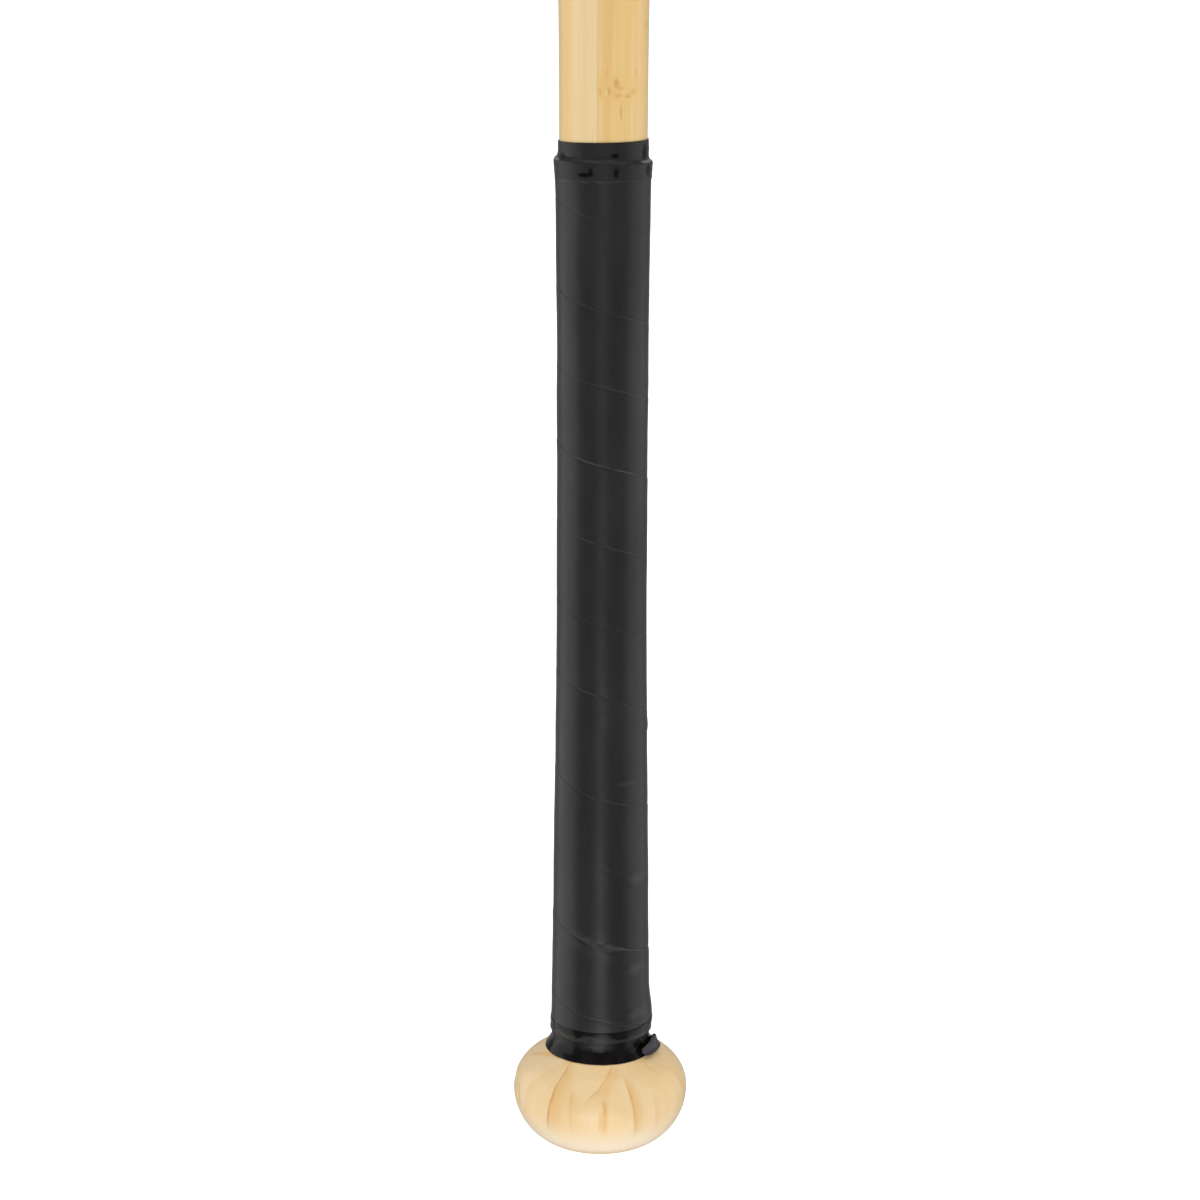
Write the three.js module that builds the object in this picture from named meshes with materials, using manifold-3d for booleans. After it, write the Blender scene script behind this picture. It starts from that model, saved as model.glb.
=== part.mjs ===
// A baseball bat turned from a billet of glued bamboo strips, with a taped handle.
// Millimetres. +Z runs from the knob to the barrel's tip. The origin is the centre of the
// knob's end face, and -Y is the front.
import * as THREE from 'three';
import { mergeVertices } from 'three/addons/utils/BufferGeometryUtils.js';
import Module from 'manifold-3d';

// Driving dimensions of the turned bat.
const LENGTH = 838;
const BARREL_R = 31.75;
const KNOB_R = 26;
const KNOB_FACE_R = 10.5;
const KNOB_BELLY_Z = 16.8;
const TIP_FACE_R = 14;
const TIP_ROUND = 15;

// The knob's shoulder is a quarter ellipse that stops short of its top and runs into the neck.
const SHOULDER_RISE = 13;
const SHOULDER_RUN = 16;
const SHOULDER_ANGLE = THREE.MathUtils.degToRad(58);
const NECK_R = 13.7;
const NECK_Z = 38;
const NECK_FILLET = [13.9, 30.15];

// Points that the handle, taper and barrel pass through, as [radius, height].
const HANDLE_AND_BARREL = [
  [NECK_R, NECK_Z], [13.35, 55], [12.7, 100], [11.93, 165], [11.87, 230], [12.35, 300],
  [12.42, 322], [12.8, 350], [13.9, 387], [15.8, 427], [18.2, 467], [20.8, 505], [23.4, 545],
  [25.8, 585], [27.8, 625], [29.4, 665], [30.6, 710], [31.5, 765], [BARREL_R, LENGTH - TIP_ROUND],
];

// The billet: layers of one thickness, each a row of strips of one width, laid like bricks.
// It was turned a little about the bat's axis, so the layers don't face the front squarely.
const LAYER_THICKNESS = 6.25;
const BILLET_TURN = THREE.MathUtils.degToRad(3.5);
const LAYERS = 10;
const STRIP_WIDTH = 22;
const EVEN_LAYER_SEAM = -2.5;
const ODD_LAYER_SEAM = 7.2;
const GLUE_GAP = 0.2;
const THINNEST_STRIP = 3.5;
const THINNEST_LAYER = 0.8;
const WAIST_R = 11.87;
const WAIST_Z = 215;
const BELOW_KNOB = -1;
const ABOVE_TIP = LENGTH + 1;

// The handle's wrap, one left-handed strip from the knob up, and the tapes that finish it.
const GRIP_BOTTOM = 35.6;
const GRIP_TOP = 293.2;
const FILLET_START = 32;
const GRIP_THICKNESS = 1.07;
const GRIP_PITCH = 23.3;
const GRIP_CLEARANCE = 0.25;
const GRIP_STEPS_PER_TURN = 24;
const RUN_IN_TURNS = 1.5;
const TRIMMED_TURNS = 2;
const LAP_LIFT = 1.4;
const LAP_GAP = 0.25;
const TAPE_THICKNESS = 0.2;
const TAPE_CLEARANCE = 0.2;
const TOP_TAPE_BOTTOM = 287.3;
const TOP_TAPE_TOP = 299;
const TOP_TAPE_STEP = { lower: GRIP_TOP + 0.1, upper: GRIP_TOP + 0.9 };
const BOTTOM_TAPE_TOP = 37.8;
const BOTTOM_TAPE_FLARE = [[14.4, 34], [14.9, 32.3], [16.2, 29.9]];

// How many straight pieces each round stretch of the outline is made of.
const UNDERSIDE_STEPS = 6;
const SHOULDER_STEPS = 4;
const FILLET_STEPS = 4;
const TIP_STEPS = 5;

const SEGMENTS = 32;
const FULL_TURN = Math.PI * 2;

const wasm = await Module();
wasm.setup();

// --- turning geometry into solids and back -------------------------------------------------

function toSolid(geometry) {
  const bare = geometry.clone();
  bare.deleteAttribute('normal');
  bare.deleteAttribute('uv');
  const merged = mergeVertices(bare, 1e-4);
  const index = merged.index.array;
  const triVerts = [];
  for (let i = 0; i < index.length; i += 3) {
    const [a, b, c] = index.slice(i, i + 3);
    if (a !== b && b !== c && c !== a) triVerts.push(a, b, c);
  }
  return new wasm.Manifold(new wasm.Mesh({
    numProp: 3,
    vertProperties: new Float32Array(merged.attributes.position.array),
    triVerts: new Uint32Array(triVerts),
  }));
}

function toGeometry(solid) {
  const mesh = solid.getMesh();
  const geometry = new THREE.BufferGeometry();
  geometry.setAttribute('position', new THREE.BufferAttribute(mesh.vertProperties, mesh.numProp));
  geometry.setIndex(new THREE.BufferAttribute(mesh.triVerts, 1));
  geometry.computeVertexNormals();
  return geometry;
}

function turned(outline) {
  const points = outline.map(([r, z]) => new THREE.Vector2(r, z));
  return toSolid(new THREE.LatheGeometry(points, SEGMENTS).rotateX(Math.PI / 2));
}

function block(low, high, turn = 0) {
  const [width, depth, height] = high.map((value, axis) => value - low[axis]);
  const box = new THREE.BoxGeometry(width, depth, height);
  box.translate(low[0] + width / 2, low[1] + depth / 2, low[2] + height / 2);
  return toSolid(box.rotateZ(turn));
}

// --- the bat's outline ----------------------------------------------------------------------

function knobOutline() {
  const underside = new THREE.EllipseCurve(
    KNOB_FACE_R, KNOB_BELLY_Z, KNOB_R - KNOB_FACE_R, KNOB_BELLY_Z, -Math.PI / 2, 0);
  const shoulder = new THREE.EllipseCurve(
    KNOB_R - SHOULDER_RUN, KNOB_BELLY_Z, SHOULDER_RUN, SHOULDER_RISE, 0, SHOULDER_ANGLE);
  const fillet = new THREE.QuadraticBezierCurve(
    shoulder.getPoint(1), new THREE.Vector2(...NECK_FILLET), new THREE.Vector2(NECK_R, NECK_Z));
  return [
    ...underside.getPoints(UNDERSIDE_STEPS),
    ...shoulder.getPoints(SHOULDER_STEPS).slice(1),
    ...fillet.getPoints(FILLET_STEPS).slice(1, -1),
  ].map((point) => [point.x, point.y]);
}

function tipOutline() {
  const round = new THREE.EllipseCurve(
    TIP_FACE_R, LENGTH - TIP_ROUND, BARREL_R - TIP_FACE_R, TIP_ROUND, 0, Math.PI / 2);
  return round.getPoints(TIP_STEPS).slice(1).map((point) => [point.x, point.y]);
}

const woodOutline = [[0, 0], ...knobOutline(), ...HANDLE_AND_BARREL, ...tipOutline(), [0, LENGTH]];

function woodRadius(z) {
  const above = woodOutline.findIndex(([r, height]) => height >= z && r > 0);
  const [r0, z0] = woodOutline[above - 1];
  const [r1, z1] = woodOutline[above];
  return THREE.MathUtils.mapLinear(z, z0, z1, r0, r1);
}

// --- the billet's strips --------------------------------------------------------------------

// The faces of one layer at an end of the bat that has this radius. A layer that would be a
// mere shaving there is left out, and the one inside it reaches the surface instead.
function layerFaces(layer, radius) {
  const middle = 1 + LAYERS / 2;
  const thinnest = radius - THINNEST_LAYER;
  let near = (layer - middle) * LAYER_THICKNESS;
  let far = near + LAYER_THICKNESS;
  if (near > thinnest || far < -thinnest) return null;
  if (near < -thinnest) near = -radius - THINNEST_LAYER;
  if (far > thinnest) far = radius + THINNEST_LAYER;
  return { near, far };
}

// How far a range across the billet is from the bat's axis.
function clearOfAxis(low, high) {
  return low * high < 0 ? 0 : Math.min(Math.abs(low), Math.abs(high));
}

// The seams across one layer, without those that would leave a strip too thin to handle.
function seamsAcross(layer, halfWidth) {
  const middle = layer % 2 === 0 ? EVEN_LAYER_SEAM : ODD_LAYER_SEAM;
  const seams = [-2, -1, 0, 1, 2].map((step) => middle + step * STRIP_WIDTH);
  return seams.filter((seam) => Math.abs(seam) < halfWidth - THINNEST_STRIP);
}

// One row of strips, from left to right, each as its four sides in the billet's own directions.
function rowOfStrips(layer, radius) {
  const faces = layerFaces(layer, radius);
  if (!faces) return [];
  const halfWidth = Math.sqrt(radius ** 2 - clearOfAxis(faces.near, faces.far) ** 2);
  const edge = radius + THINNEST_LAYER;
  const bounds = [-edge, ...seamsAcross(layer, halfWidth), edge];
  return bounds.slice(1).map((right, i) => ({ left: bounds[i], right, ...faces }));
}

// A strip runs the whole length of the bat if some of it is left at the handle's waist.
function runsThrough({ left, right, near, far }) {
  return Math.hypot(clearOfAxis(left, right), clearOfAxis(near, far)) < WAIST_R;
}

function cell({ left, right, near, far }, bottom, top) {
  const half = GLUE_GAP / 2;
  const low = [left + half, near + half, bottom];
  return block(low, [right - half, far - half, top], BILLET_TURN);
}

// The turned billet cut into its strips. A strip that clears the handle's waist was turned
// away there, which leaves one piece of it in the knob and another in the barrel.
function cutStrips(billet) {
  const strips = [];
  const keep = (end, layer, i, tool) => {
    strips.push({ name: `${end}_strip_${layer}${'abcd'[i]}`, solid: billet.intersect(tool) });
  };
  for (let layer = 1; layer <= LAYERS; layer += 1) {
    const inKnob = rowOfStrips(layer, KNOB_R);
    const inBarrel = rowOfStrips(layer, BARREL_R);
    const knobCores = inKnob.filter(runsThrough);
    inBarrel.filter(runsThrough).forEach((strip, i) => {
      const lower = cell(knobCores[i], BELOW_KNOB, WAIST_Z);
      keep('core', layer, i, lower.add(cell(strip, WAIST_Z, ABOVE_TIP)));
    });
    inKnob.filter((strip) => !runsThrough(strip)).forEach((strip, i) => {
      keep('knob', layer, i, cell(strip, BELOW_KNOB, WAIST_Z));
    });
    inBarrel.filter((strip) => !runsThrough(strip)).forEach((strip, i) => {
      keep('barrel', layer, i, cell(strip, WAIST_Z, ABOVE_TIP));
    });
  }
  return strips;
}

// --- the wrap and its tapes -----------------------------------------------------------------

function gripRadius(z) {
  return woodRadius(z) + GRIP_THICKNESS;
}

// The wrap is one strip wound up the handle as a left-handed helix. Its section leans outwards
// and up, so that each turn's upper edge laps over the lower edge of the turn above. The helix
// starts below the wrap and ends above it, and is trimmed level at both ends.
function gripWrap() {
  const turnCount = Math.ceil((GRIP_TOP - GRIP_BOTTOM) / GRIP_PITCH + TRIMMED_TURNS);
  const stepCount = turnCount * GRIP_STEPS_PER_TURN;
  const width = GRIP_PITCH - LAP_GAP;
  const { clamp } = THREE.MathUtils;
  const inner = (z) => [woodRadius(clamp(z, FILLET_START, TOP_TAPE_TOP)) + GRIP_CLEARANCE, z];
  const outer = (z) => [gripRadius(clamp(z, GRIP_BOTTOM, TOP_TAPE_TOP)), z];
  const positions = [];
  for (let step = 0; step <= stepCount; step += 1) {
    const turns = step / GRIP_STEPS_PER_TURN;
    const angle = -FULL_TURN * turns;
    const low = GRIP_BOTTOM + GRIP_PITCH * (turns - RUN_IN_TURNS);
    const section = [inner(low), inner(low + width), outer(low + width + LAP_LIFT), outer(low + LAP_LIFT)];
    section.forEach(([r, z]) => positions.push(r * Math.cos(angle), r * Math.sin(angle), z));
  }
  const geometry = new THREE.BufferGeometry();
  geometry.setAttribute('position', new THREE.Float32BufferAttribute(positions, 3));
  geometry.setIndex(loftIndex(stepCount, 4));
  const trim = block([-BARREL_R, -BARREL_R, GRIP_BOTTOM], [BARREL_R, BARREL_R, GRIP_TOP]);
  return toSolid(geometry).intersect(trim);
}

// Faces between neighbouring sections of a loft, with a four-cornered cap on each end.
function loftIndex(stepCount, corners) {
  const index = [];
  const quad = (a, b, c, d) => index.push(a, b, c, a, c, d);
  for (let step = 0; step < stepCount; step += 1) {
    const here = step * corners;
    const next = here + corners;
    for (let i = 0; i < corners; i += 1) {
      const j = (i + 1) % corners;
      quad(here + i, next + i, next + j, here + j);
    }
  }
  const end = stepCount * corners;
  quad(0, 1, 2, 3);
  quad(end + 3, end + 2, end + 1, end);
  return index;
}

function tapeRing(inside) {
  const outside = inside.map(([r, z]) => [r + TAPE_THICKNESS, z]).reverse();
  return turned([...inside, ...outside, inside[0]]);
}

// Half of the upper tape holds the wrap's end and half of it sticks to the bare wood above.
function topTape() {
  const onGrip = gripRadius(GRIP_TOP) + TAPE_CLEARANCE;
  const onWood = woodRadius(TOP_TAPE_TOP) + TAPE_CLEARANCE / 2;
  return tapeRing([
    [onWood, TOP_TAPE_TOP], [onWood, TOP_TAPE_STEP.upper],
    [onGrip, TOP_TAPE_STEP.lower], [onGrip, TOP_TAPE_BOTTOM],
  ]);
}

// The lower tape holds the wrap's start, draws in below it and flares over the knob's shoulder.
function bottomTape() {
  const onGrip = gripRadius(GRIP_BOTTOM) + TAPE_CLEARANCE;
  return tapeRing([
    [onGrip, BOTTOM_TAPE_TOP], [onGrip, GRIP_BOTTOM - TAPE_CLEARANCE], ...BOTTOM_TAPE_FLARE,
  ]);
}

// --- the finished bat -----------------------------------------------------------------------

const bamboo = [0xe6c696, 0xe3bd85, 0xe9cc9f].map(
  (color) => new THREE.MeshStandardMaterial({ color, roughness: 0.38, metalness: 0 }));
const gripTape = new THREE.MeshStandardMaterial({ color: 0x1d1c1c, roughness: 0.6, metalness: 0 });
const finishTape = new THREE.MeshStandardMaterial({ color: 0x141213, roughness: 0.25, metalness: 0 });

const bat = new THREE.Group();

function addPiece(name, solid, material) {
  const mesh = new THREE.Mesh(toGeometry(solid), material);
  mesh.name = name;
  bat.add(mesh);
}

cutStrips(turned(woodOutline)).forEach(({ name, solid }, i) => {
  addPiece(name, solid, bamboo[i % bamboo.length]);
});
addPiece('grip_wrap', gripWrap(), gripTape);
addPiece('top_finish_tape', topTape(), finishTape);
addPiece('bottom_finish_tape', bottomTape(), finishTape);

export default bat;
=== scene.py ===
# A baseball bat turned from a billet of glued bamboo strips, with a wrapped and taped handle,
# standing on its knob in a bright studio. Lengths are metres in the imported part's own frame:
# +Z runs from the knob to the barrel's tip, -Y is the front and +X is on the right.
# Azimuths are measured from the front towards the right.

import math
import random

import bmesh
import bpy
from mathutils import Matrix, Vector, noise


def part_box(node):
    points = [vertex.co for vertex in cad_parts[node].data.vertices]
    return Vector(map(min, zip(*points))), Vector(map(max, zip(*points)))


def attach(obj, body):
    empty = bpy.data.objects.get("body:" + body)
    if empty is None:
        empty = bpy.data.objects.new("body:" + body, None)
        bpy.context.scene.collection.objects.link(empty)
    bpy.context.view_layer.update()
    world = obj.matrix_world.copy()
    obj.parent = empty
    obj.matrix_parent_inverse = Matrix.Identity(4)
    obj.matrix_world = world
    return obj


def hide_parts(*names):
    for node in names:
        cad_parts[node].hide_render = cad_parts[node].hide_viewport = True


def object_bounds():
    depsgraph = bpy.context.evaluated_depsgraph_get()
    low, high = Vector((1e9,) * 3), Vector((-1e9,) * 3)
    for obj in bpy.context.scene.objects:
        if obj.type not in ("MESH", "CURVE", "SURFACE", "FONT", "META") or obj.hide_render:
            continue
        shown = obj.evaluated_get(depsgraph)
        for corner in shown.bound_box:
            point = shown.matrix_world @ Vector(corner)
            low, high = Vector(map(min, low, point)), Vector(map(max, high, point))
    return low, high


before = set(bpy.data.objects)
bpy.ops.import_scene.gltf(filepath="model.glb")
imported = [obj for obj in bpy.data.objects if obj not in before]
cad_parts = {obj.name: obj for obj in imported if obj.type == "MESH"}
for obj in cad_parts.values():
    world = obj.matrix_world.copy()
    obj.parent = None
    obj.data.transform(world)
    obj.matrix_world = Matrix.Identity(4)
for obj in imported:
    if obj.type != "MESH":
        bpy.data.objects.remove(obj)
bpy.context.view_layer.update()
CAD_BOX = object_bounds()

MM = 0.001
FULL_TURN = 2 * math.pi

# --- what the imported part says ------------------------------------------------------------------

BAT_HEIGHT = CAD_BOX[1].z
GRIP_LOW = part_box("grip_wrap")[0].z
GRIP_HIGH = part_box("grip_wrap")[1].z
STRIPS = sorted(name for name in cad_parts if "_strip_" in name)
POINTS_IN_A_TURNED_RING = 200


def turned_rings():
    """The bat's outline as (radius, height) pairs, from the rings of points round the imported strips."""
    radii = {}
    for name in STRIPS:
        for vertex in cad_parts[name].data.vertices:
            radii.setdefault(round(vertex.co.z, 5), []).append(vertex.co.xy.length)
    full = {z: found for z, found in radii.items() if len(found) > POINTS_IN_A_TURNED_RING}
    return [(max(found), z) for z, found in sorted(full.items())]


def calm_slope(before, after, gap_before, gap_after):
    """The slope at a point between two stretches. It never overshoots, and is level at a turn."""
    if before * after <= 0:
        return 0.0
    slope = (before * gap_after + after * gap_before) / (gap_before + gap_after)
    return math.copysign(min(abs(slope), 3 * abs(before), 3 * abs(after)), slope)


def smooth_line(points, step):
    """More points along a smooth curve through these, about step(point) apart."""
    points = [Vector(point) for point in points]
    gaps = [(b - a).length for a, b in zip(points, points[1:])]
    speeds = [(b - a) / gap for a, b, gap in zip(points, points[1:], gaps)]
    slopes = [speeds[0]]
    for i in range(1, len(points) - 1):
        pairs = zip(speeds[i - 1], speeds[i])
        slopes.append(Vector([calm_slope(before, after, gaps[i - 1], gaps[i]) for before, after in pairs]))
    slopes.append(speeds[-1])
    line = []
    for i, gap in enumerate(gaps):
        count = max(1, round(gap / step(points[i])))
        for k in range(count):
            t = k / count
            line.append(
                points[i] * (2 * t**3 - 3 * t**2 + 1)
                + points[i + 1] * (3 * t**2 - 2 * t**3)
                + slopes[i] * gap * (t**3 - 2 * t**2 + t)
                + slopes[i + 1] * gap * (t**3 - t**2)
            )
    return line + [points[-1]]


ROUND_ENDS = (45 * MM, BAT_HEIGHT - 20 * MM)
FINE_STEP = 0.9 * MM
LONG_STEP = 5 * MM


def outline_step(point):
    return LONG_STEP if ROUND_ENDS[0] < point.y < ROUND_ENDS[1] else FINE_STEP


OUTLINE = smooth_line(turned_rings(), outline_step)


def wood_at(z):
    """The wood's radius at a height, and how fast it grows with height."""
    for low, high in zip(OUTLINE, OUTLINE[1:]):
        if low.y <= z <= high.y and high.y > low.y:
            slope = (high.x - low.x) / (high.y - low.y)
            return low.x + slope * (z - low.y), slope
    return OUTLINE[-1].x, 0


# --- small helpers ------------------------------------------------------------------------------


def smoothstep(low, high, value):
    t = min(1, max(0, (value - low) / (high - low)))
    return t * t * (3 - 2 * t)


def bump(centre, half_width, value):
    """1 at the centre, falling smoothly to 0 at half_width from it."""
    return 1 - smoothstep(0, half_width, abs(value - centre))


def between(low, high, ramp, value):
    """1 between two values, falling smoothly to 0 over the first and last ramp inside them."""
    return smoothstep(low, low + ramp, value) * (1 - smoothstep(high - ramp, high, value))


def on_circle(azimuth, radius, z):
    return Vector((radius * math.sin(azimuth), -radius * math.cos(azimuth), z))


def add_piece(name, mesh, material, replaced):
    piece = bpy.data.objects.new(name, mesh)
    bpy.context.scene.collection.objects.link(piece)
    mesh.materials.clear()
    mesh.materials.append(material)
    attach(piece, "root")
    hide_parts(replaced)
    return piece


def mesh_from(bm, name):
    """Turns a bmesh into a mesh and frees it."""
    mesh = bpy.data.meshes.new(name)
    bm.to_mesh(mesh)
    bm.free()
    return mesh


def split_by_plane(bm, point, normal):
    """Cuts a solid, drops what lies beyond the plane and gives back the cut's edges."""
    everything = bm.verts[:] + bm.edges[:] + bm.faces[:]
    result = bmesh.ops.bisect_plane(
        bm, geom=everything, dist=1e-8, plane_co=point, plane_no=normal, clear_outer=True)
    return [item for item in result["geom_cut"] if isinstance(item, bmesh.types.BMEdge)]


def join_rows(bm, rows):
    """Smooth faces between closed rows of points. Gives back a list of faces for each two rows."""
    bands = []
    for here, there in zip(rows, rows[1:]):
        band = []
        for i in range(len(here)):
            j = (i + 1) % len(here)
            face = bm.faces.new((here[i], here[j], there[j], there[i]))
            face.smooth = True
            band.append(face)
        bands.append(band)
    return bands


# --- building materials -------------------------------------------------------------------------


class Shader:
    """A material under construction. Each method adds a node and gives back its output."""

    def __init__(self, name):
        self.material = bpy.data.materials.new(name)
        self.material.use_nodes = True
        self.tree = self.material.node_tree
        self.surface = self.tree.nodes["Principled BSDF"]

    def node(self, kind, inputs=(), **settings):
        node = self.tree.nodes.new("ShaderNode" + kind)
        for key, value in settings.items():
            setattr(node, key, value)
        for key, value in dict(inputs).items():
            self.feed(node.inputs[key], value)
        return node

    def feed(self, socket, value):
        if isinstance(value, bpy.types.NodeSocket):
            self.tree.links.new(value, socket)
        else:
            socket.default_value = value

    def math(self, operation, *values):
        node = self.node("Math", operation=operation)
        for socket, value in zip(node.inputs, values):
            self.feed(socket, value)
        return node.outputs[0]

    def vector(self, operation, *values):
        node = self.node("VectorMath", operation=operation)
        for socket, value in zip(node.inputs, values):
            self.feed(socket, value)
        return node.outputs[0]

    def split(self, vector):
        return self.node("SeparateXYZ", {0: vector}).outputs

    def join(self, x, y, z):
        return self.node("CombineXYZ", {0: x, 1: y, 2: z}).outputs[0]

    def place(self):
        return self.node("TexCoord").outputs["Object"]

    def attribute(self, name):
        return self.node("Attribute", attribute_name=name).outputs["Vector"]

    def noise(self, vector, scale, detail=2.0, roughness=0.5):
        inputs = {"Vector": vector, "Scale": scale, "Detail": detail, "Roughness": roughness}
        return self.node("TexNoise", inputs).outputs["Fac"]

    def ramp(self, value, low, high, start=0.0, end=1.0):
        """Runs smoothly from start at low to end at high."""
        inputs = {0: value, 1: low, 2: high, 3: start, 4: end}
        return self.node("MapRange", inputs, interpolation_type="SMOOTHSTEP").outputs[0]

    def band(self, value, rise, fall, top=1.0):
        """Rises from 0 to top over the rise pair, and falls back over the fall pair."""
        rising = self.ramp(value, rise[0] * MM, rise[1] * MM, 0.0, top)
        return self.math("MULTIPLY", rising, self.ramp(value, fall[0] * MM, fall[1] * MM, 1.0, 0.0))

    def centred(self, value, size):
        """A noise of 0 to 1 turned into one of about -size/2 to size/2."""
        return self.math("MULTIPLY", self.math("SUBTRACT", value, 0.5), size)

    def mix(self, share, first, second):
        node = self.node("Mix", data_type="RGBA")
        self.feed(node.inputs["Factor"], share)
        self.feed(node.inputs[6], first)
        self.feed(node.inputs[7], second)
        return node.outputs[2]

    def set(self, **values):
        for key, value in values.items():
            self.feed(self.surface.inputs[key.replace("_", " ")], value)

    def relief(self, height, depth, strength=1.0):
        """Bumps of this depth in metres from a height of 0 to 1."""
        inputs = {"Strength": strength, "Distance": depth, "Height": height}
        self.feed(self.surface.inputs["Normal"], self.node("Bump", inputs).outputs[0])


# --- bamboo -------------------------------------------------------------------------------------

BILLET_TURN = math.radians(3.5)

# Grain lines over the knob's front, as (azimuth and height at the top, azimuth and height at the
# bottom, strength of the line, width of the warm shade on its right, strength of the shade).
KNOB_STREAKS = [
    ((-33, 29), (-38, 11), 0.75, 7.0, 0.75),
    ((13, 30), (-9, 22), 0.40, 9.0, 0.65),
    ((20, 27), (23.5, 10), 0.50, 4.6, 0.75),
    ((1.5, 22), (2.0, 12), 0.45, 2.2, 0.95),
    ((-1.2, 19), (-0.8, 12), 0.0, 3.6, 0.70),
    ((-21, 24), (-20, 12), 0.15, 4.5, 0.35),
    ((46, 29), (51, 26), 0.45, 1.5, 0.50),
    ((64, 26.63), (68, 24.29), 0.40, 1.0, 0.40),
    ((38, 22), (40, 10), 0.10, 4.0, 0.35),
    ((-58, 24), (-62, 9), 0.10, 4.0, 0.30),
    ((70, 24), (74, 8), 0.10, 4.0, 0.30),
]

# The bamboo node in the handle's front right strip: its dark flecks, its pale glints and the warm
# halo round them, as (x, height, half width, half height, strength).
NODE_FLECKS = [
    (1.5, 312.9, 0.45, 1.3, 0.54),
    (-0.9, 312.4, 0.4, 1.2, 0.40),
    (3.4, 315.2, 0.8, 1.5, 0.61),
    (4.4, 314.0, 1.0, 0.5, 0.36),
    (4.0, 311.7, 1.3, 0.5, 0.40),
    (6.8, 311.6, 0.9, 0.5, 0.54),
    (4.85, 307.4, 0.38, 2.6, 0.54),
    (8.8, 318.0, 0.25, 1.2, 0.32),
    (0.9, 318.2, 0.3, 1.6, 0.22),
]
NODE_GLINTS = [(0.6, 312.6, 0.7, 1.0, 0.45), (5.4, 312.8, 1.7, 0.45, 0.45)]
NODE_HALO = (1.6, 314.5, 3.6, 5.5, 0.55)

# Warmer bands along the handle's front, as (sideways place, half width, strength).
FRONT_BANDS = [(-10.3, 2.2, 0.75), (-6.0, 1.2, 0.15), (0.2, 2.4, 0.90), (3.2, 1.4, 0.25)]

STEM_JOINT_SPACING = 270 * MM

# The grain lines' widths are measured round the knob at about this radius.
KNOB_STREAK_RADIUS = CAD_BOX[1].x * 0.8

PALE = (0.830, 0.630, 0.335, 1)
GOLDEN = (0.795, 0.558, 0.225, 1)
REDDISH = (0.805, 0.515, 0.178, 1)
STREAK = (0.62, 0.375, 0.125, 1)
NODE_BROWN = (0.60, 0.33, 0.050, 1)
NODE_PALE = (0.85, 0.65, 0.31, 1)
GLUE = (0.52, 0.34, 0.16, 1)
KNOB_CREAM = (0.93, 0.69, 0.41, 1)
# a painted glow of light bounced up from the floor, for the knob's lower end
FLOOR_BOUNCE_CREAM = (0.95, 0.83, 0.65, 1)
WARM_SHADE = (0.80, 0.475, 0.165, 1)
LINE_BROWN = (0.62, 0.34, 0.115, 1)


def ellipse_mask(shader, x, z, wobble, spot):
    """1 inside one small ellipse on the front of the bat, 0 outside."""
    centre_x, centre_z, half_width, half_height, strength = spot
    across = shader.math("DIVIDE", shader.math("SUBTRACT", x, centre_x * MM), half_width * MM)
    along = shader.math("DIVIDE", shader.math("SUBTRACT", z, centre_z * MM), half_height * MM)
    squares = [shader.math("POWER", shader.math("ABSOLUTE", side), 2.0) for side in (across, along)]
    distance = shader.math("ADD", shader.math("SQRT", shader.math("ADD", *squares)), wobble)
    return shader.ramp(distance, 0.45, 1.25, strength, 0.0)


def knob_streaks(shader, azimuth, z, wobble, color):
    """Each grain line is thin and sharp, with a warm shade that fades to its right."""
    patchy = shader.ramp(shader.noise(shader.place(), 150, 2, 0.5), 0.38, 0.62, 0.4, 1.2)
    for (top_azimuth, top), (bottom_azimuth, bottom), line, width, shade in KNOB_STREAKS:
        top_angle, bottom_angle = math.radians(top_azimuth), math.radians(bottom_azimuth)
        lean = (top_angle - bottom_angle) / ((top - bottom) * MM)
        edge = shader.math("MULTIPLY_ADD", z, lean, bottom_angle - lean * bottom * MM)
        beside = shader.math("SUBTRACT", azimuth, edge)
        distance = shader.math("MULTIPLY_ADD", beside, KNOB_STREAK_RADIUS, wobble)
        low, high = min(top, bottom), max(top, bottom)
        above = shader.ramp(z, (low - 2) * MM, (low + 3) * MM)
        below = shader.ramp(z, (high - 2.5) * MM, (high + 1) * MM, 1.0, 0.0)
        here = shader.math("MULTIPLY", above, below)
        sharp = shader.math("MULTIPLY", shader.ramp(distance, -0.2 * MM, 0.2 * MM), here)
        fading = shader.ramp(distance, 0, width * MM, shade, 0.0)
        color = shader.mix(shader.math("MULTIPLY", sharp, fading), color, WARM_SHADE)
        thin = shader.math("MULTIPLY", shader.ramp(distance, 0.1 * MM, 1.2 * MM, line, 0.0), patchy)
        color = shader.mix(shader.math("MULTIPLY", sharp, thin), color, LINE_BROWN)
    return color


def shoulder_line(shader, azimuth, z, wobble, color):
    """A warm grain line that runs nearly level over the knob's left shoulder and sinks at its side."""
    starts, sinks_by, over = math.radians(-43), 3.7 * MM, math.radians(49)
    along = shader.math("MAXIMUM", shader.math("MULTIPLY_ADD", azimuth, -1 / over, starts / over), 0.0)
    height = shader.math("MULTIPLY_ADD", shader.math("POWER", along, 3.0), -sinks_by, 29.4 * MM)
    below = shader.math("ADD", shader.math("SUBTRACT", height, z), wobble)
    line = shader.ramp(shader.math("ABSOLUTE", below), 0.1 * MM, 0.75 * MM, 0.65, 0.0)
    reach = shader.math("MULTIPLY", shader.ramp(along, 0.0, 0.2), shader.ramp(along, 0.8, 1.1, 1.0, 0.0))
    return shader.mix(shader.math("MULTIPLY", line, reach), color, WARM_SHADE)


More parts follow.
